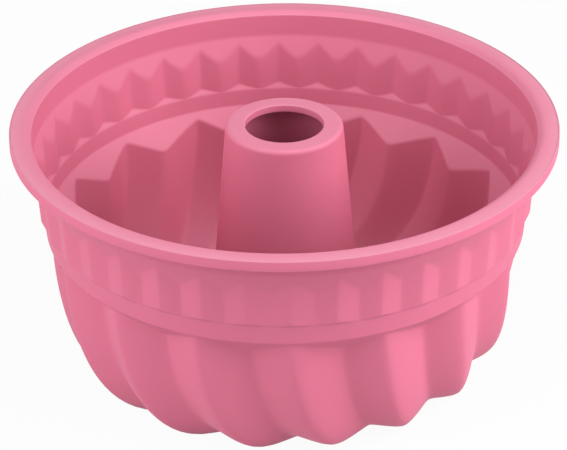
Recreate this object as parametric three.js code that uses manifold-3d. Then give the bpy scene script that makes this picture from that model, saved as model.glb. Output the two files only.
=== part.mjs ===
// Silicone fluted tube pan: a baking mould with a flat flange, a collar, a pleated band,
// a plain belt, a fluted bowl whose flutes swirl under the base, and a hollow centre tube.
// Millimetres, +Z up. The origin is the middle of the plane that the pan stands on.
import * as THREE from 'three';
import { mergeVertices } from 'three/addons/utils/BufferGeometryUtils.js';
import Module from 'manifold-3d';

// Overall sizes
const RIM_DIAMETER = 220;
const HEIGHT = 105;
const WALL = 2.2;
const BAND_WALL = 1.2;

// Flange round the mouth
const FLANGE_WIDTH = 8.7;
const FLANGE_THICKNESS = 4.2;
const FLANGE_EDGE_ROUND = 0.5;
const MOUTH_ROUND = 2.7;

// Collar, from the top of the flange to the foot of its plain wall
const COLLAR_HEIGHT = 11;
const COLLAR_TAPER = 0.4;

// Pleated band: a steep shoulder cut into a zigzag by the pleats, down to small ledges on the belt
const PLEAT_COUNT = 36;
const PLEAT_SHOULDER = 1.2;
const PLEAT_SHOULDER_ANGLE = 19.5;
const PLEAT_DEPTH = 2.1;
const PLEAT_TAPER = 0.5;
const PLEAT_BAND_HEIGHT = 23.7;
const LEDGE_STEP = 0.25;
const LEDGE_ANGLE = 36;

// Plain belt
const BELT_HEIGHT = 6.9;
const BELT_TAPER = 0.75;

// Flutes of the bowl: a second shoulder, then a wall that turns in to the base
const FLUTE_COUNT = 16;
const FLUTE_SHOULDER = 2.5;
const FLUTE_SHOULDER_ANGLE = 45;
const FLUTE_DEPTH = 6.6;
const FLUTE_DEPTH_AT_BASE = 4.3;
const FLUTE_TWIST = 17.5;
const FLUTE_TWIST_EASE = 1.75;
const FLUTE_SHARPNESS = 0.98;
const FLUTE_SHARPNESS_AT_BASE = 0.76;
const BOWL_LEAN = 0.8;
const BOWL_STRAIGHT = 30.8;
const BOWL_TURN = 20;

// Base: the lobes' crest, the flat that each lobe stands on, and the sweep up to the tube
const CREST_DIAMETER = 140.6;
const CREST_WIDTH = 13;
const STANDING_FLAT = 1.1;
const BASE_TWIST = 20;
const BASE_SWEEP = 14;
const TUBE_FOOT_HEIGHT = 16;
const TUBE_FOOT_SWEEP = 10;

// Centre tube
const TUBE_TOP_DROP = 0.8;
const TUBE_TOP_DIAMETER = 47.2;
const TUBE_TOP_ROUND = 2;
const TUBE_TOP_THICKNESS = 3.2;
const TUBE_HOLE_DIAMETER = 31.8;
const TUBE_DRAFT = 4.9;

// Steel ring in the flange, and the holes that the mould's support pins leave under it
const WIRE_DIAMETER = 2;
const WIRE_CLEARANCE = 0.3;
const PIN_HOLE_DIAMETER = 2;
const PIN_HOLE_COUNT = 8;

// How finely the forms are divided
const ROUND_STEPS = 72;
const PLEAT_STEPS = 2;
const FLUTE_STEPS = 8;
const BOWL_ROWS = 6;
const BASE_ROWS = 4;
const MOUTH_ROWS = 3;
const TUBE_ROUND_ROWS = 2;
const WIRE_STEPS = 8;
const PIN_STEPS = 10;

// Finishes
const SILICONE = { color: 0xd66c8b, roughness: 0.55, metalness: 0 };
const STEEL = { color: 0xb9bdc1, roughness: 0.35, metalness: 1 };

// Levels and radii of the batter side, from the mouth down to the flutes
const rimRadius = RIM_DIAMETER / 2;
const mouthRadius = rimRadius - FLANGE_WIDTH;
const collarFoot = { r: mouthRadius - COLLAR_TAPER, z: HEIGHT - COLLAR_HEIGHT };
const pleatRidge = collarFoot.r - PLEAT_SHOULDER;
const pleatValley = pleatRidge - PLEAT_DEPTH;
const beltTop = { r: pleatValley - PLEAT_TAPER - LEDGE_STEP, z: collarFoot.z - PLEAT_BAND_HEIGHT };
const beltFoot = { r: beltTop.r - BELT_TAPER, z: beltTop.z - BELT_HEIGHT };
const fluteRidge = beltFoot.r - FLUTE_SHOULDER;
const tubeTop = HEIGHT - TUBE_TOP_DROP;
const crestRadius = CREST_DIAMETER / 2;

const radians = THREE.MathUtils.degToRad;
const slope = (degrees) => Math.tan(radians(degrees));

// How far a corner of the band's outer side lies below its inner corner, so that a shoulder keeps the wall
const bandDrop = (degrees) => BAND_WALL * slope(degrees / 2);

// How far the shoulder of the flutes lies below its inner side, which keeps the bowl's wall
const shoulderDrop = WALL / Math.sin(radians(FLUTE_SHOULDER_ANGLE));
const shoulderHeight = (r) => beltFoot.z - (beltFoot.r - r) / slope(FLUTE_SHOULDER_ANGLE);

// Runs from 1 on a ridge to 0 in a valley, with straight flanks and rounded folds
function fold(turns, sharpness) {
  return 0.5 + Math.asin(sharpness * Math.cos(2 * Math.PI * turns)) / (2 * Math.asin(sharpness));
}

// A ring of the loft: how many points it has, and where each lies for a share of the full turn
const ring = (count, place) => ({ count, place });
const circle = (r, z, twist = 0) => ring(ROUND_STEPS, () => ({ r, z, twist }));
const pleatRing = (place) => ring(PLEAT_COUNT * PLEAT_STEPS, (turn) => (
  place(fold(turn * PLEAT_COUNT, 1))
));

// Radius of the tube's batter side at a height
const tubeRadius = (z) => TUBE_TOP_DIAMETER / 2 + (tubeTop - z) * slope(TUBE_DRAFT);

// The underside's profile along a flute's ridge: down the bowl, then from the crest in to the tube
const bowlTop = { r: fluteRidge + WALL, z: shoulderHeight(fluteRidge + WALL) - shoulderDrop };
const bowlCurve = new THREE.CubicBezierCurve(
  new THREE.Vector2(bowlTop.r, bowlTop.z),
  new THREE.Vector2(
    bowlTop.r - BOWL_STRAIGHT * Math.sin(radians(BOWL_LEAN)),
    bowlTop.z - BOWL_STRAIGHT * Math.cos(radians(BOWL_LEAN)),
  ),
  new THREE.Vector2(crestRadius + BOWL_TURN, -STANDING_FLAT),
  new THREE.Vector2(crestRadius, -STANDING_FLAT),
);
const hollowRadius = (z) => tubeRadius(z) - WALL;
const baseCurve = new THREE.CubicBezierCurve(
  new THREE.Vector2(crestRadius - CREST_WIDTH, -STANDING_FLAT),
  new THREE.Vector2(crestRadius - CREST_WIDTH - BASE_SWEEP, -STANDING_FLAT),
  new THREE.Vector2(hollowRadius(TUBE_FOOT_HEIGHT - TUBE_FOOT_SWEEP), TUBE_FOOT_HEIGHT - TUBE_FOOT_SWEEP),
  new THREE.Vector2(hollowRadius(TUBE_FOOT_HEIGHT), TUBE_FOOT_HEIGHT),
);

// A ring of flutes on a profile: the wall sinks towards the batter between the ridges,
// and the lobes are cut flat where they stand
function fluteRing(curve, along, depth, sharpness, twist, wall) {
  const at = curve.getPoint(along);
  const heading = curve.getTangent(along);
  return ring(FLUTE_COUNT * FLUTE_STEPS, (turn) => {
    const inset = wall + depth * (1 - fold(turn * FLUTE_COUNT, sharpness));
    const z = at.y - heading.x * inset;
    return { r: at.x + heading.y * inset, z: Math.max(z, wall), twist: radians(twist) };
  });
}

// One side of the wall from the collar's foot to the tube's foot. The band's sizes are those of its
// batter side, and the bowl's and the base's those of their underside
function wallRings(outside) {
  const out = outside ? BAND_WALL : 0;
  const down = (degrees) => (outside ? bandDrop(degrees) : 0);
  const wall = outside ? 0 : WALL;
  const rings = [];

  const pleatShoulder = (w) => {
    const r = pleatValley + PLEAT_DEPTH * w;
    const z = collarFoot.z - (collarFoot.r - r) / slope(PLEAT_SHOULDER_ANGLE);
    return { r: r + out, z: z - down(PLEAT_SHOULDER_ANGLE) };
  };
  const pleatLedge = (w) => {
    const r = pleatValley - PLEAT_TAPER + PLEAT_DEPTH * w;
    const z = beltTop.z + (r - beltTop.r) / slope(LEDGE_ANGLE);
    return { r: r + out, z: z - down(LEDGE_ANGLE) };
  };
  rings.push(circle(collarFoot.r + out, collarFoot.z - down(PLEAT_SHOULDER_ANGLE)));
  rings.push(pleatRing(pleatShoulder));
  rings.push(pleatRing(pleatLedge));
  rings.push(circle(beltTop.r + out, beltTop.z - down(LEDGE_ANGLE)));

  const onShoulder = (r) => ({ r, z: shoulderHeight(r) - (outside ? shoulderDrop : 0) });
  const beltEdge = onShoulder(beltFoot.r + out);
  rings.push(circle(beltEdge.r, beltEdge.z));
  rings.push(ring(FLUTE_COUNT * FLUTE_STEPS, (turn) => {
    const sunk = FLUTE_DEPTH * (1 - fold(turn * FLUTE_COUNT, FLUTE_SHARPNESS));
    return onShoulder(bowlTop.r - wall - sunk);
  }));
  for (let row = 1; row <= BOWL_ROWS; row += 1) {
    const along = row / BOWL_ROWS;
    const depth = THREE.MathUtils.lerp(FLUTE_DEPTH, FLUTE_DEPTH_AT_BASE, along);
    const sharpness = THREE.MathUtils.lerp(FLUTE_SHARPNESS, FLUTE_SHARPNESS_AT_BASE, along);
    const twist = FLUTE_TWIST * along ** FLUTE_TWIST_EASE;
    rings.push(fluteRing(bowlCurve, along, depth, sharpness, twist, wall));
  }
  for (let row = 0; row < BASE_ROWS; row += 1) {
    const along = row / BASE_ROWS;
    const depth = FLUTE_DEPTH_AT_BASE * (1 - along);
    const twist = FLUTE_TWIST + BASE_TWIST * (row + 1) / (BASE_ROWS + 1);
    rings.push(fluteRing(baseCurve, along, depth, FLUTE_SHARPNESS_AT_BASE, twist, wall));
  }
  rings.push(circle(hollowRadius(TUBE_FOOT_HEIGHT) + wall, TUBE_FOOT_HEIGHT, tubeTwist));
  return rings;
}

// The tube's rings keep the turn that the flutes arrive with
const tubeTwist = radians(FLUTE_TWIST + BASE_TWIST);

// Quarter rounds, as rings from one angle of the section to another
function roundRings(centre, radius, from, to, rows, twist) {
  const rings = [];
  for (let row = 0; row <= rows; row += 1) {
    const angle = radians(THREE.MathUtils.lerp(from, to, row / rows));
    rings.push(circle(centre.r + radius * Math.cos(angle), centre.z + radius * Math.sin(angle), twist));
  }
  return rings;
}

// The pan's section, walked once round: over the flange, down the batter side, up the tube,
// through its hole, down the hollow and back up the outside
function panRings() {
  const roundStart = tubeTop - TUBE_TOP_ROUND;
  const roundCentre = { r: tubeRadius(roundStart) - TUBE_TOP_ROUND, z: roundStart };
  const holeRadius = TUBE_HOLE_DIAMETER / 2;
  const hollowTop = tubeTop - TUBE_TOP_THICKNESS;
  const flangeFoot = HEIGHT - FLANGE_THICKNESS;
  const mouthCentre = { r: mouthRadius + MOUTH_ROUND, z: HEIGHT - MOUTH_ROUND };
  const collarOutside = mouthRadius + BAND_WALL;
  return [
    circle(rimRadius, HEIGHT - FLANGE_EDGE_ROUND),
    circle(rimRadius - FLANGE_EDGE_ROUND, HEIGHT),
    ...roundRings(mouthCentre, MOUTH_ROUND, 90, 180, MOUTH_ROWS, 0),
    ...wallRings(false),
    ...roundRings(roundCentre, TUBE_TOP_ROUND, 0, 90, TUBE_ROUND_ROWS, tubeTwist),
    circle(holeRadius, tubeTop, tubeTwist),
    circle(holeRadius, hollowTop, tubeTwist),
    circle(hollowRadius(hollowTop), hollowTop, tubeTwist),
    ...wallRings(true).reverse(),
    circle(collarOutside, flangeFoot),
    circle(rimRadius - FLANGE_EDGE_ROUND, flangeFoot),
    circle(rimRadius, flangeFoot + FLANGE_EDGE_ROUND),
  ];
}

// Skins a closed chain of rings; neighbouring rings may have different counts
function loft(rings) {
  const vertices = [];
  const triangles = [];
  const starts = rings.map(({ count, place }) => {
    const start = vertices.length / 3;
    for (let step = 0; step < count; step += 1) {
      const { r, z, twist = 0 } = place(step / count);
      const angle = (2 * Math.PI * step) / count + twist;
      vertices.push(r * Math.cos(angle), r * Math.sin(angle), z);
    }
    return start;
  });
  rings.forEach((a, index) => {
    const next = (index + 1) % rings.length;
    const b = rings[next];
    const onA = (step) => starts[index] + (step % a.count);
    const onB = (step) => starts[next] + (step % b.count);
    let i = 0;
    let k = 0;
    while (i < a.count || k < b.count) {
      if ((i + 1) * b.count <= (k + 1) * a.count) {
        triangles.push(onA(i), onA(i + 1), onB(k));
        i += 1;
      } else {
        triangles.push(onA(i), onB(k + 1), onB(k));
        k += 1;
      }
    }
  });
  return { vertices, triangles };
}

const wasm = await Module();
wasm.setup();

function solid(vertices, triangles) {
  return new wasm.Manifold(new wasm.Mesh({
    numProp: 3,
    vertProperties: new Float32Array(vertices),
    triVerts: new Uint32Array(triangles),
  }));
}

function solidOf(geometry) {
  const bare = geometry.clone();
  bare.deleteAttribute('normal');
  bare.deleteAttribute('uv');
  const merged = mergeVertices(bare);
  return solid(merged.attributes.position.array, merged.index.array);
}

function geometryOf(body) {
  const { vertProperties, triVerts } = body.getMesh();
  const geometry = new THREE.BufferGeometry();
  geometry.setAttribute('position', new THREE.BufferAttribute(vertProperties, 3));
  geometry.setIndex(new THREE.BufferAttribute(triVerts, 1));
  geometry.computeVertexNormals();
  return geometry;
}

// The wire runs along the middle of the flange
const wireRadius = rimRadius - (FLANGE_WIDTH - BAND_WALL) / 2;
const wireHeight = HEIGHT - FLANGE_THICKNESS / 2;
const wireGeometry = (radius) => new THREE.TorusGeometry(wireRadius, radius, WIRE_STEPS, ROUND_STEPS);

// The channel that the wire leaves in the silicone, with the pin holes that open it from below
function wireChannel() {
  const channel = wireGeometry(WIRE_DIAMETER / 2 + WIRE_CLEARANCE).translate(0, 0, wireHeight);
  let cut = solidOf(channel);
  for (let pin = 0; pin < PIN_HOLE_COUNT; pin += 1) {
    const hole = new THREE.CylinderGeometry(
      PIN_HOLE_DIAMETER / 2,
      PIN_HOLE_DIAMETER / 2,
      FLANGE_THICKNESS,
      PIN_STEPS,
    );
    hole.rotateX(Math.PI / 2);
    hole.translate(wireRadius, 0, wireHeight - FLANGE_THICKNESS / 2);
    hole.rotateZ((2 * Math.PI * (pin + 0.5)) / PIN_HOLE_COUNT);
    cut = cut.add(solidOf(hole));
  }
  return cut;
}

function siliconePan() {
  const { vertices, triangles } = loft(panRings());
  const body = solid(vertices, triangles).subtract(wireChannel());
  const mesh = new THREE.Mesh(geometryOf(body), new THREE.MeshStandardMaterial(SILICONE));
  mesh.name = 'silicone_pan';
  return mesh;
}

function rimWire() {
  const mesh = new THREE.Mesh(wireGeometry(WIRE_DIAMETER / 2), new THREE.MeshStandardMaterial(STEEL));
  mesh.name = 'rim_wire';
  mesh.position.z = wireHeight;
  return mesh;
}

const tubePan = new THREE.Group();
tubePan.add(siliconePan(), rimWire());

export default tubePan;
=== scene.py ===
"""Silicone fluted tube pan: a pink baking mould with pleats, swirling flutes and a hollow centre tube."""

import math
from collections import namedtuple

import bpy
from mathutils import Matrix, Vector


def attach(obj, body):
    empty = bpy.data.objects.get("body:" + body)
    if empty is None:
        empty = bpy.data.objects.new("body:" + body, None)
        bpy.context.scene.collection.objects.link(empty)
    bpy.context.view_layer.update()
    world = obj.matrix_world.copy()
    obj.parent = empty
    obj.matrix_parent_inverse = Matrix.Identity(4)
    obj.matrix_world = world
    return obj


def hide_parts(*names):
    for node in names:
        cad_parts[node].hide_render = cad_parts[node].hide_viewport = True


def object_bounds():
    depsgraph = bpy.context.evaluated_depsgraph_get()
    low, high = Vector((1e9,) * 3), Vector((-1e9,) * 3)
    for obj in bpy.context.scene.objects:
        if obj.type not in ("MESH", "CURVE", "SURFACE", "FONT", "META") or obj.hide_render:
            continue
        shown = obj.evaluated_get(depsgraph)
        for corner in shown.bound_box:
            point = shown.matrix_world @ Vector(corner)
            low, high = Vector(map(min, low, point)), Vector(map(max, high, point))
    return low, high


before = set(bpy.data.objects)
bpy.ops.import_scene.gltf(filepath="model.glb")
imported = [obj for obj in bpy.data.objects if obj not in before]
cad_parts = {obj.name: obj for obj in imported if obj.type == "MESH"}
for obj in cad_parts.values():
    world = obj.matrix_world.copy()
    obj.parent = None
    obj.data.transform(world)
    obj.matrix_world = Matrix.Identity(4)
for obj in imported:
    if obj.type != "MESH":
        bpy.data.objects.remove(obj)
cad_low, cad_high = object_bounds()

MM = 0.001

# Overall sizes, in millimetres and degrees like all sizes of the pan
RIM_RADIUS = cad_high.x / MM
HEIGHT = cad_high.z / MM
WALL = 2.2
BAND_WALL = 1.2

# Flange, with its rolled inner edge, and collar
FLANGE_WIDTH = 8.7
FLANGE_THICKNESS = 4.2
MOUTH_SLOPE_WIDTH = 2.0
MOUTH_SLOPE_DROP = 1.6
COLLAR_HEIGHT = 11.0
COLLAR_TAPER = 0.4

# Pleated band
PLEAT_COUNT = 36
PLEAT_SHOULDER = 1.2
PLEAT_SHOULDER_ANGLE = 19.5
PLEAT_DEPTH = 2.1
PLEAT_DEPTH_AT_LEDGE = 1.5
PLEAT_TAPER = 0.7
PLEAT_BAND_HEIGHT = 23.7
LEDGE_STEP = 0.05
LEDGE_ANGLE = {"inside": 36.0, "outside": 54.0}

# Plain belt
BELT_HEIGHT = 6.9
BELT_TAPER = 0.75

# Fluted bowl
FLUTE_COUNT = 16
FLUTE_SHOULDER = 2.5
FLUTE_SHOULDER_ANGLE = 45.0
FLUTE_DEPTH = 6.6
FLUTE_DEPTH_AT_BASE = 4.3
FLUTE_TWIST = 17.5
FLUTE_TWIST_EASE = 1.75
ZIGZAG_LEAN = 1.3
BOWL_LEAN = 0.8
BOWL_STRAIGHT = 30.8
BOWL_TURN = 20.0

# Base
CREST_RADIUS = 70.3
CREST_WIDTH = 13.0
STANDING_FLAT = 1.1
BASE_TWIST = 20.0
BASE_SWEEP = 14.0
TUBE_FOOT_HEIGHT = 16.0
TUBE_FOOT_SWEEP = 10.0

# Centre tube
TUBE_TOP_DROP = 0.8
TUBE_TOP_RADIUS = 23.6
TUBE_TOP_THICKNESS = 3.2
TUBE_HOLE_RADIUS = 15.9
TUBE_DRAFT = 4.9

# Steel ring in the flange, with its clearance and the pin holes under it
WIRE_RADIUS = 1.0
WIRE_CLEARANCE = 0.3
PIN_HOLE_RADIUS = 1.0
PIN_HOLE_COUNT = 8

# How soft the folds are, as shares of a flank: ridge and valley, on the batter side and outside
PLEAT_SOFTNESS = {"inside": (0.1, 0.42), "outside": (0.1, 0.13)}
FLUTE_SOFTNESS = {"inside": (0.04, 0.12), "outside": (0.12, 0.1)}
FLUTE_SOFTNESS_AT_BASE = {"inside": (0.07, 0.17), "outside": (0.2, 0.18)}

# How far each rounding reaches from its corner, and the most of an edge that it takes
RIM_EDGE_ROUND = 0.4
MOUTH_ROUND = 1.5
MOUTH_EDGE_ROUND = 0.3
COLLAR_ROUND = 0.9
PLEAT_ROUND = 1.7
LEDGE_ROUND = 0.7
BELT_ROUND = 0.55
FLUTE_ROUND = 1.1
TUBE_TOP_ROUND = 2.0
HOLE_ROUND = 0.45
HOLLOW_ROUND = 1.2
UNDER_FLANGE_ROUND = 0.8
ROUND_SHARE = 0.45

# How far above the flutes' zigzag a row of its own keeps their shoulder flat
SHOULDER_SUPPORT = 2.4

# Edges with a rounding up to this reach get a painted pale highlight
EDGE_HIGHLIGHT_REACH = 0.5

# How finely the pan is divided
COLUMNS = 576
FOLD_BUNCHING = 0.72
ROUND_ROWS = 3
WIDE_ROUND_ROWS = 6
WIDE_ROUND = 1.3
BOWL_ROWS = 20
BASE_ROWS = 9
CHANNEL_STEPS = 144
CHANNEL_SIDES = 12
PIN_HOLE_SIDES = 24
MERGE_DISTANCE = 0.01
SMOOTH_ANGLE = 50.0

# Where on the bowl's curve a flute's start is searched, and in how many halvings
FLUTE_START_RANGE = (-0.1, 0.4)
FLUTE_START_HALVINGS = 24

# Finishes: sRGB colours, and how strongly the painted sheen on upward faces and the painted highlights on
# tight outward edges show
DEEP_PINK = (195, 100, 126)
LIGHT_PINK = (199, 104, 130)
# Pale pink painted on as a sheen on upward faces and as a highlight on tight outward edges
PAINTED_HIGHLIGHT_PINK = (203, 142, 160)
PAINTED_TOP_SHEEN_SHARE = 0.22
PAINTED_SHEEN_CLOUDINESS = 0.2
EDGE_HIGHLIGHT_SHARE = 0.35
SILICONE_ROUGHNESS = 0.5
SILICONE_IOR = 1.41
SILICONE_SPECULAR = 0.25
BRIGHT_STEEL = (196, 200, 204)
DULL_STEEL = (176, 178, 180)
STEEL_ROUGHNESS = 0.25

# Photograph's frame, and the view in millimetres and degrees
IMAGE_WIDTH = 567
FOCAL_PIXELS = 2782.5
VIEW_CENTRE_PIXELS = 285.12
VIEW_DISTANCE = 1138.8
VIEW_DROP = 47.83
VIEW_ELEVATION = 30.085
VIEW_BEARING = -91.35
VIEW_ROLL = -0.49
SENSOR_WIDTH = 36.0
VIEW_REACH_METRES = 50

# Studio: white surroundings, and softboxes by bearing and elevation from the pan in degrees,
# distance and size in metres, and power in watts
WHITE = (1, 1, 1, 1)
FLOOR_SIZE = 8
FLOOR_GREY = 0.6
FLOOR_WHITE_SHARE = 0.95
SOFTBOXES = {
    "right": {"bearing": -16, "elevation": 32, "distance": 1.1, "size": 0.85, "power": 18.0},
    "left": {"bearing": 197, "elevation": 27, "distance": 1.1, "size": 1.0, "power": 13.5},
    "top": {"bearing": -95, "elevation": 66, "distance": 1.1, "size": 1.0, "power": 5.0},
    "front": {"bearing": -85, "elevation": 14, "distance": 1.1, "size": 0.8, "power": 2.5},
}

# Places that follow from the sizes; a Vector is a radius and a height on the batter side
mouth_radius = RIM_RADIUS - FLANGE_WIDTH
collar_foot = Vector((mouth_radius - COLLAR_TAPER, HEIGHT - COLLAR_HEIGHT))
pleat_valley = collar_foot.x - PLEAT_SHOULDER - PLEAT_DEPTH
belt_top = Vector((pleat_valley - PLEAT_TAPER - LEDGE_STEP, collar_foot.y - PLEAT_BAND_HEIGHT))
belt_foot = Vector((belt_top.x - BELT_TAPER, belt_top.y - BELT_HEIGHT))
shoulder_lean = math.radians(FLUTE_SHOULDER_ANGLE)
flute_ridge = belt_foot.x - FLUTE_SHOULDER
tube_top = HEIGHT - TUBE_TOP_DROP
hollow_top = tube_top - TUBE_TOP_THICKNESS
wire_ring_radius = RIM_RADIUS - (FLANGE_WIDTH - BAND_WALL) / 2
wire_height = HEIGHT - FLANGE_THICKNESS / 2

# What each side of the wall adds to the band's batter side and to the bowl's underside
SIDE_OUT = {"inside": 0, "outside": BAND_WALL}
SIDE_WALL = {"inside": WALL, "outside": 0}

# A corner of the pan's section: its radius and height, its rounding's reach and its twist about +Z
Corner = namedtuple("Corner", "r z reach twist")


def slope(degrees):
    return math.tan(math.radians(degrees))


def mix(a, b, share):
    return a + (b - a) * share


def ease(share, softness):
    """Runs straight from 0 to 1, with a soft bend at 0."""
    return (math.hypot(share, softness) - softness) / (math.hypot(1, softness) - softness)


def fold(turns, ridge, valley):
    """1 on a ridge and 0 in a valley, with straight flanks and each fold as soft as it says."""
    height = abs(2 * (turns % 1) - 1)
    return ease(1 - ease(1 - height, ridge), valley)


def bunch(turn, count):
    """Draws a share of the full turn towards the nearest of the folds of count waves."""
    return turn - FOLD_BUNCHING * math.sin(4 * math.pi * turn * count) / (4 * math.pi * count)


def tube_radius(z):
    """The tube's batter side."""
    return TUBE_TOP_RADIUS + (tube_top - z) * slope(TUBE_DRAFT)


def hollow_radius(z):
    return tube_radius(z) - WALL


class Sweep:
    """A cubic curve of the underside's profile, with its heading."""

    def __init__(self, *controls):
        self.controls = [Vector(control) for control in controls]

    def at(self, along):
        points = self.controls
        while len(points) > 2:
            points = [a.lerp(b, along) for a, b in zip(points, points[1:])]
        return points[0].lerp(points[1], along), (points[1] - points[0]).normalized()


def on_shoulder(r, side):
    """Height of the flutes' shoulder at a radius; outside it lies lower by the bowl's wall."""
    inner = belt_foot.y - (belt_foot.x - r) / math.tan(shoulder_lean)
    return inner - WALL / math.sin(shoulder_lean) if side == "outside" else inner


bowl_top = Vector((flute_ridge + WALL, on_shoulder(flute_ridge + WALL, "outside")))
bowl_heading = Vector((-math.sin(math.radians(BOWL_LEAN)), -math.cos(math.radians(BOWL_LEAN))))
bowl_sweep = Sweep(
    bowl_top,
    bowl_top + bowl_heading * BOWL_STRAIGHT,
    (CREST_RADIUS + BOWL_TURN, -STANDING_FLAT),
    (CREST_RADIUS, -STANDING_FLAT),
)
foot_start = TUBE_FOOT_HEIGHT - TUBE_FOOT_SWEEP
base_sweep = Sweep(
    (CREST_RADIUS - CREST_WIDTH, -STANDING_FLAT),
    (CREST_RADIUS - CREST_WIDTH - BASE_SWEEP, -STANDING_FLAT),
    (hollow_radius(foot_start), foot_start),
    (hollow_radius(TUBE_FOOT_HEIGHT), TUBE_FOOT_HEIGHT),
)


def fluted(at, heading, depth, height, wall):
    """A point of the bowl or the base: between the ridges the flutes sink it towards the batter."""
    inset = wall + depth * (1 - height)
    return at.x + heading.y * inset, max(at.y - heading.x * inset, wall)


def bowl_point(turn, along, side):
    softness = zip(FLUTE_SOFTNESS[side], FLUTE_SOFTNESS_AT_BASE[side])
    ridge, valley = [mix(top, base, along) for top, base in softness]
    depth = mix(FLUTE_DEPTH, FLUTE_DEPTH_AT_BASE, along)
    height = fold(turn * FLUTE_COUNT, ridge, valley)
    return fluted(*bowl_sweep.at(along), depth, height, SIDE_WALL[side])


def base_point(turn, along, side):
    depth = FLUTE_DEPTH_AT_BASE * (1 - along)
    height = fold(turn * FLUTE_COUNT, *FLUTE_SOFTNESS_AT_BASE[side])
    return fluted(*base_sweep.at(along), depth, height, SIDE_WALL[side])


def bowl_twist(along):
    return FLUTE_TWIST * max(along, 0) ** FLUTE_TWIST_EASE


def flute_start(turn, side):
    """How far down the bowl's curve a flute meets its shoulder."""
    low, high = FLUTE_START_RANGE
    for _ in range(FLUTE_START_HALVINGS):
        along = (low + high) / 2
        r, z = bowl_point(turn, along, side)
        low, high = (along, high) if z > on_shoulder(r, side) else (low, along)
    return (low + high) / 2


def band_corners(turn, side):
    """The pleated band, from the collar's foot to the belt's top."""
    out = SIDE_OUT[side]
    pleat_turn = bunch(turn, PLEAT_COUNT)
    shift = 360 * (pleat_turn - turn)
    height = fold(pleat_turn * PLEAT_COUNT, *PLEAT_SOFTNESS[side])
    shoulder_r = pleat_valley + PLEAT_DEPTH * height
    shoulder_z = collar_foot.y - (collar_foot.x - shoulder_r) / slope(PLEAT_SHOULDER_ANGLE)
    ledge_r = pleat_valley + PLEAT_DEPTH_AT_LEDGE * height - PLEAT_TAPER
    ledge_z = belt_top.y + (ledge_r - belt_top.x) / slope(LEDGE_ANGLE[side])
    shoulder_drop = out * slope(PLEAT_SHOULDER_ANGLE / 2)
    ledge_drop = out * slope(LEDGE_ANGLE[side] / 2)
    return [
        Corner(collar_foot.x + out, collar_foot.y - shoulder_drop, COLLAR_ROUND, shift),
        Corner(shoulder_r + out, shoulder_z - shoulder_drop, PLEAT_ROUND, shift),
        Corner(ledge_r + out, ledge_z - ledge_drop, LEDGE_ROUND, shift),
        Corner(belt_top.x + out, belt_top.y - ledge_drop, LEDGE_ROUND, shift),
    ]


def bowl_corners(turn, side):
    """The belt's foot, the flutes down the bowl and under the base, and the tube's foot."""
    flute_turn = bunch(turn, FLUTE_COUNT)
    shift = 360 * (flute_turn - turn)
    foot_r = belt_foot.x + SIDE_OUT[side]
    start = flute_start(flute_turn, side)
    lean = ZIGZAG_LEAN * (1 - fold(flute_turn * FLUTE_COUNT, *FLUTE_SOFTNESS[side]))
    r, z = bowl_point(flute_turn, start, side)
    up = SHOULDER_SUPPORT * Vector((math.sin(shoulder_lean), math.cos(shoulder_lean)))
    corners = [
        Corner(foot_r, on_shoulder(foot_r, side), BELT_ROUND, shift),
        Corner(r + up.x, z + up.y, 0, shift + lean),
        Corner(r, z, FLUTE_ROUND, shift + lean),
    ]
    for row in range(1, BOWL_ROWS + 1):
        share = row / BOWL_ROWS
        along = mix(start, 1, share)
        twist = bowl_twist(along) + (lean - bowl_twist(start)) * (1 - share)
        corners.append(Corner(*bowl_point(flute_turn, along, side), 0, shift + twist))
    for row in range(BASE_ROWS):
        twist = FLUTE_TWIST + BASE_TWIST * (row + 1) / (BASE_ROWS + 1)
        corners.append(Corner(*base_point(flute_turn, row / BASE_ROWS, side), 0, shift + twist))
    tube_foot = hollow_radius(TUBE_FOOT_HEIGHT) + SIDE_WALL[side]
    corners.append(Corner(tube_foot, TUBE_FOOT_HEIGHT, 0, shift + FLUTE_TWIST + BASE_TWIST))
    return corners


def wall_corners(turn, side):
    return band_corners(turn, side) + bowl_corners(turn, side)


def section_corners(turn):
    """The pan's section, walked once round from the flange's top edge."""
    twist = FLUTE_TWIST + BASE_TWIST + 360 * (bunch(turn, FLUTE_COUNT) - turn)
    flange_foot = HEIGHT - FLANGE_THICKNESS
    return [
        Corner(RIM_RADIUS, HEIGHT, RIM_EDGE_ROUND, 0),
        Corner(mouth_radius + MOUTH_SLOPE_WIDTH, HEIGHT, MOUTH_ROUND, 0),
        Corner(mouth_radius, HEIGHT - MOUTH_SLOPE_DROP, MOUTH_EDGE_ROUND, 0),
        *wall_corners(turn, "inside"),
        Corner(tube_radius(tube_top), tube_top, TUBE_TOP_ROUND, twist),
        Corner(TUBE_HOLE_RADIUS, tube_top, HOLE_ROUND, twist),
        Corner(TUBE_HOLE_RADIUS, hollow_top, HOLE_ROUND, twist),
        Corner(hollow_radius(hollow_top), hollow_top, HOLLOW_ROUND, twist),
        *reversed(wall_corners(turn, "outside")),
        Corner(mouth_radius + BAND_WALL, flange_foot, UNDER_FLANGE_ROUND, 0),
        Corner(RIM_RADIUS, flange_foot, RIM_EDGE_ROUND, 0),
    ]


def round_shares(reach):
    """Where the rows of a rounding lie, from its start to its end."""
    rows = WIDE_ROUND_ROWS if reach > WIDE_ROUND else ROUND_ROWS
    return [row / rows for row in range(rows + 1)]


def section_points(turn):
    """Points of the section as Vectors of r, twist and z, with every corner rounded."""
    corners = section_corners(turn)
    points = []
    for index, corner in enumerate(corners):
        tip = Vector((corner.r, corner.twist, corner.z))
        if not corner.reach:
            points.append(tip)
            continue
        last, following = corners[index - 1], corners[(index + 1) % len(corners)]
        before = Vector((last.r, corner.twist, last.z)) - tip
        after = Vector((following.r, corner.twist, following.z)) - tip
        start = tip + before.normalized() * min(corner.reach, before.length * ROUND_SHARE)
        end = tip + after.normalized() * min(corner.reach, after.length * ROUND_SHARE)
        for share in round_shares(corner.reach):
            points.append(start.lerp(tip, share).lerp(tip.lerp(end, share), share))
    return points


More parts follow.
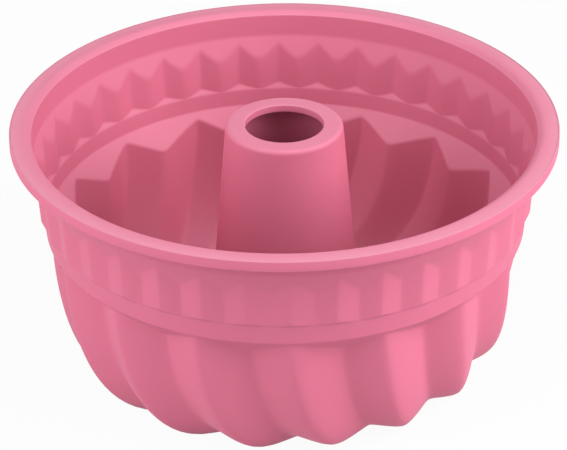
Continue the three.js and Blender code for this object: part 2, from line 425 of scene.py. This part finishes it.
def painted_edge_highlight_rows():
    """How strongly each row of the section gets the painted edge highlight: most in the middle of a tight
    rounding that sticks out.
    """
    corners = section_corners(0)
    rows = []
    for index, corner in enumerate(corners):
        if not corner.reach:
            rows.append(0.0)
            continue
        last, following = corners[index - 1], corners[(index + 1) % len(corners)]
        arriving = Vector((corner.r - last.r, corner.z - last.z))
        leaving = Vector((following.r - corner.r, following.z - corner.z))
        most = 1 if arriving.cross(leaving) > 0 and corner.reach <= EDGE_HIGHLIGHT_REACH else 0
        rows += [most * 4 * share * (1 - share) for share in round_shares(corner.reach)]
    return rows


def draw_and_spin(name, points, steps):
    """Extrudes a point round a closed section and spins it about +Z; each vertex keeps its row."""
    bpy.ops.object.select_all(action="DESELECT")
    first = points[0] * MM
    bpy.ops.mesh.primitive_plane_add(size=MM, location=(first.x, 0, first.z))
    piece = bpy.context.object
    piece.name = name
    bpy.ops.object.transform_apply(location=True)
    bpy.ops.object.mode_set(mode="EDIT")
    bpy.ops.mesh.select_all(action="SELECT")
    bpy.ops.mesh.merge(type="CENTER")
    for a, b in zip(points, points[1:]):
        step = (b - a) * MM
        bpy.ops.mesh.extrude_vertices_move(TRANSFORM_OT_translate={"value": (step.x, 0, step.z)})
    bpy.ops.object.mode_set(mode="OBJECT")
    mesh = piece.data
    row = mesh.attributes.new("row", "INT", "POINT")
    for index, item in enumerate(row.data):
        item.value = index
    mesh.vertices[0].select = True
    mesh.vertices[len(points) - 1].select = True
    bpy.ops.object.mode_set(mode="EDIT")
    bpy.ops.mesh.edge_face_add()
    bpy.ops.mesh.select_all(action="SELECT")
    bpy.ops.mesh.spin(steps=steps, angle=2 * math.pi, center=(0, 0, 0), axis=(0, 0, 1))
    bpy.ops.mesh.select_all(action="SELECT")
    bpy.ops.mesh.remove_doubles(threshold=MERGE_DISTANCE * MM)
    bpy.ops.object.mode_set(mode="OBJECT")
    return piece


def pleat_and_flute(piece):
    """Moves the spun vertices to their own column's section, which makes the pleats and the flutes."""
    mesh = piece.data
    sections = [section_points(column / COLUMNS) for column in range(COLUMNS)]
    rows = [item.value for item in mesh.attributes["row"].data]
    painted_edge_highlight = painted_edge_highlight_rows()
    # Painted edge highlight: a per-vertex share of paler colour along tight outward roundings
    painted_edge_highlight_layer = mesh.attributes.new("painted_edge_highlight", "FLOAT", "POINT")
    painted_edge_highlight_layer.data.foreach_set("value", [painted_edge_highlight[row] for row in rows])
    for vertex, row in zip(mesh.vertices, rows):
        turn = math.atan2(vertex.co.y, vertex.co.x) / (2 * math.pi)
        column = round(turn * COLUMNS) % COLUMNS
        r, twist, z = sections[column][row]
        angle = 2 * math.pi * column / COLUMNS + math.radians(twist)
        vertex.co = Vector((r * math.cos(angle), r * math.sin(angle), z)) * MM
    mesh.attributes.remove(mesh.attributes["row"])


def wire_cutters():
    """The wire's channel and the holes that the mould's pins leave under it."""
    bpy.ops.object.select_all(action="DESELECT")
    bpy.ops.mesh.primitive_torus_add(
        location=(0, 0, wire_height * MM),
        major_radius=wire_ring_radius * MM,
        minor_radius=(WIRE_RADIUS + WIRE_CLEARANCE) * MM,
        major_segments=CHANNEL_STEPS,
        minor_segments=CHANNEL_SIDES,
    )
    cutters = [bpy.context.object]
    for pin in range(PIN_HOLE_COUNT):
        angle = 2 * math.pi * (pin + 0.5) / PIN_HOLE_COUNT
        place = Vector((math.cos(angle), math.sin(angle), 0)) * wire_ring_radius
        place.z = wire_height - FLANGE_THICKNESS / 2
        bpy.ops.mesh.primitive_cylinder_add(
            vertices=PIN_HOLE_SIDES,
            radius=PIN_HOLE_RADIUS * MM,
            depth=FLANGE_THICKNESS * MM,
            location=place * MM,
        )
        cutters.append(bpy.context.object)
    return cutters


def cut(piece, cutters):
    for cutter in cutters:
        bpy.ops.object.select_all(action="DESELECT")
        piece.select_set(True)
        bpy.context.view_layer.objects.active = piece
        tool = piece.modifiers.new("cut", "BOOLEAN")
        tool.operation = "DIFFERENCE"
        tool.solver = "EXACT"
        tool.object = cutter
        bpy.ops.object.modifier_apply(modifier=tool.name)
        bpy.data.objects.remove(cutter)


def make_pan():
    pan = draw_and_spin("silicone_pan_body", section_points(0), COLUMNS)
    pleat_and_flute(pan)
    bpy.ops.object.mode_set(mode="EDIT")
    bpy.ops.mesh.select_all(action="SELECT")
    bpy.ops.mesh.normals_make_consistent(inside=False)
    bpy.ops.object.mode_set(mode="OBJECT")
    cut(pan, wire_cutters())
    bpy.ops.object.shade_smooth_by_angle(angle=math.radians(SMOOTH_ANGLE))
    flats = pan.modifiers.new("flats", "WEIGHTED_NORMAL")
    flats.keep_sharp = True
    bpy.ops.object.modifier_apply(modifier=flats.name)
    return pan


class Socket:
    """A shader socket that takes part in Python arithmetic."""

    def __init__(self, tree, socket):
        self.tree = tree
        self.socket = socket

    def node(self, kind, settings=None, inputs=None):
        """Adds a node: its settings first, then the values or links of its sockets."""
        made = self.tree.nodes.new(kind)
        for name, value in (settings or {}).items():
            setattr(made, name, value)
        for key, value in (inputs or {}).items():
            if isinstance(value, Socket):
                self.tree.links.new(value.socket, made.inputs[key])
            else:
                made.inputs[key].default_value = value
        return made

    def of(self, made, output=0):
        return Socket(self.tree, made.outputs[output])

    def math(self, operation, a, b):
        return self.of(self.node("ShaderNodeMath", {"operation": operation}, {0: a, 1: b}))

    def __add__(self, other):
        return self.math("ADD", self, other)

    def __radd__(self, other):
        return self.math("ADD", other, self)

    def __mul__(self, other):
        return self.math("MULTIPLY", self, other)

    def __rmul__(self, other):
        return self.math("MULTIPLY", other, self)

    def at_least(self, other):
        return self.math("MAXIMUM", self, other)

    def noise(self, scale, detail, roughness=0.5):
        made = self.node(
            "ShaderNodeTexNoise",
            inputs={"Vector": self, "Scale": scale, "Detail": detail, "Roughness": roughness},
        )
        return self.of(made, "Fac")

    def blend(self, a, b):
        """A colour between a and b, by this socket's value."""
        made = self.node("ShaderNodeMix", {"data_type": "RGBA"}, {"Factor": self, 6: a, 7: b})
        return self.of(made, 2)


def linear(srgb):
    """An sRGB colour, 0 to 255, as the shader's linear colour."""
    shares = [channel / 255 for channel in srgb]
    return (*[c / 12.92 if c <= 0.04045 else ((c + 0.055) / 1.055) ** 2.4 for c in shares], 1)


def new_material(name):
    material = bpy.data.materials.new(name)
    material.use_nodes = True
    tree = material.node_tree
    tree.nodes.clear()
    place = Socket(tree, None)
    coordinates = place.of(place.node("ShaderNodeTexCoord"), "Object")
    return material, coordinates


def surface(coordinates, shader):
    coordinates.node("ShaderNodeOutputMaterial", inputs={"Surface": coordinates.of(shader)})


def silicone():
    """Satin silicone: even pink, slightly cloudy, with the mould's matt grain; upward faces get a painted
    pale sheen and tight outward edges a painted highlight.
    """
    material, place = new_material("pink_silicone")
    cloud = place.noise(scale=14, detail=3)
    mottle = place.noise(scale=70, detail=4, roughness=0.6)
    grain = place.noise(scale=2600, detail=2)
    body = (cloud * 0.7 + mottle * 0.3).blend(linear(DEEP_PINK), linear(LIGHT_PINK))
    facing = place.of(place.node("ShaderNodeNewGeometry"), "Normal")
    # Painted sheen: faces are painted paler the more they face up
    upward = place.of(place.node("ShaderNodeSeparateXYZ", inputs={0: facing}), "Z").at_least(0.0)
    # Painted edge highlight, read from the mesh's per-vertex share
    painted_edge_highlight = place.of(place.node("ShaderNodeAttribute", {"attribute_name": "painted_edge_highlight"}), "Fac")
    # Painted paleness: a cloudy painted sheen on upward faces plus the painted highlights on tight outward
    # edges
    painted_sheen_and_highlight = upward * (PAINTED_TOP_SHEEN_SHARE + mottle * PAINTED_SHEEN_CLOUDINESS) + painted_edge_highlight * EDGE_HIGHLIGHT_SHARE
    relief = place.node(
        "ShaderNodeBump",
        inputs={"Strength": 0.1, "Distance": 0.1 * MM, "Height": grain},
    )
    shader = place.node(
        "ShaderNodeBsdfPrincipled",
        inputs={
            "Base Color": painted_sheen_and_highlight.blend(body, linear(PAINTED_HIGHLIGHT_PINK)),
            "Roughness": SILICONE_ROUGHNESS + mottle * 0.06 + grain * 0.04,
            "IOR": SILICONE_IOR,
            "Specular IOR Level": SILICONE_SPECULAR,
            "Normal": place.of(relief),
        },
    )
    surface(place, shader)
    return material


def drawn_steel():
    """Bright drawn wire, faintly stained and with a fine uneven polish."""
    material, place = new_material("drawn_steel")
    polish = place.noise(scale=1800, detail=3)
    stain = place.noise(scale=90, detail=3)
    shader = place.node(
        "ShaderNodeBsdfPrincipled",
        inputs={
            "Base Color": stain.blend(linear(BRIGHT_STEEL), linear(DULL_STEEL)),
            "Metallic": 1.0,
            "Roughness": STEEL_ROUGHNESS + polish * 0.15,
        },
    )
    surface(place, shader)
    return material


def dress(piece, material):
    piece.data.materials.clear()
    piece.data.materials.append(material)


def seen_rays(place):
    """1 for what is seen, straight, in a reflection or through glass, and 0 for light on its way."""
    path = place.node("ShaderNodeLightPath")
    camera, glossy, through = [
        place.of(path, name) for name in ("Is Camera Ray", "Is Glossy Ray", "Is Transmission Ray")
    ]
    return camera.at_least(glossy.at_least(through))


def white_floor():
    """A pale floor that the camera sees as white, and that keeps the pan's shadow."""
    bpy.ops.object.select_all(action="DESELECT")
    bpy.ops.mesh.primitive_plane_add(size=FLOOR_SIZE, location=(0, 0, 0))
    floor = bpy.context.object
    floor.name = "floor"
    material, place = new_material("white_floor")
    white = place.of(place.node("ShaderNodeEmission", inputs={"Color": WHITE, "Strength": 1.0}))
    matt = place.of(place.node("ShaderNodeBsdfDiffuse", inputs={"Color": (*[FLOOR_GREY] * 3, 1)}))
    share = seen_rays(place) * FLOOR_WHITE_SHARE
    surface(place, place.node("ShaderNodeMixShader", inputs={0: share, 1: matt, 2: white}))
    dress(floor, material)


def white_world():
    """White to the camera and in reflections; it adds no light of its own."""
    world = bpy.data.worlds.new("studio")
    bpy.context.scene.world = world
    world.use_nodes = True
    tree = world.node_tree
    tree.nodes.clear()
    place = Socket(tree, None)
    white = place.node("ShaderNodeBackground", inputs={"Color": WHITE, "Strength": seen_rays(place)})
    place.node("ShaderNodeOutputWorld", inputs={"Surface": place.of(white)})


def direction(bearing, elevation):
    """Unit vector from the pan: bearing turns from +X towards +Y."""
    b, e = math.radians(bearing), math.radians(elevation)
    return Vector((math.cos(e) * math.cos(b), math.cos(e) * math.sin(b), math.sin(e)))


def softbox(name, bearing, elevation, distance, size, power):
    light = bpy.data.lights.new(name, "AREA")
    light.shape = "SQUARE"
    light.size = size
    light.energy = power
    lamp = bpy.data.objects.new(name, light)
    bpy.context.scene.collection.objects.link(lamp)
    centre = Vector((0, 0, HEIGHT / 2 * MM))
    away = direction(bearing, elevation)
    lamp.location = centre + away * distance
    lamp.rotation_euler = away.to_track_quat("Z", "Y").to_euler()


def photograph_camera():
    """A camera at the photograph's viewing angle, swung a little so that the pan sits as it does there."""
    data = bpy.data.cameras.new("camera")
    data.sensor_fit = "HORIZONTAL"
    data.sensor_width = SENSOR_WIDTH
    data.lens = SENSOR_WIDTH * FOCAL_PIXELS / IMAGE_WIDTH
    data.clip_end = VIEW_REACH_METRES
    camera = bpy.data.objects.new("camera", data)
    bpy.context.scene.collection.objects.link(camera)
    target = Vector((0, 0, HEIGHT - VIEW_DROP)) * MM
    back = direction(VIEW_BEARING, VIEW_ELEVATION)
    level = Vector((0, 0, 1)).cross(back).normalized()
    upright = back.cross(level)
    roll = math.radians(VIEW_ROLL)
    right = level * math.cos(roll) + upright * math.sin(roll)
    up = upright * math.cos(roll) - level * math.sin(roll)
    place = target + back * VIEW_DISTANCE * MM
    swing = (VIEW_CENTRE_PIXELS - IMAGE_WIDTH / 2) / FOCAL_PIXELS
    back = (back + right * swing).normalized()
    right = (right - back * right.dot(back)).normalized()
    camera.matrix_world = Matrix.Translation(place) @ Matrix((right, up, back)).transposed().to_4x4()
    bpy.context.scene.camera = camera


photograph_camera()
pan = make_pan()
dress(pan, silicone())
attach(pan, "root")
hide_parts("silicone_pan")
dress(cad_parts["rim_wire"], drawn_steel())

white_floor()
white_world()
for name, settings in SOFTBOXES.items():
    softbox(name, **settings)

bpy.context.scene.view_settings.view_transform = "Standard"
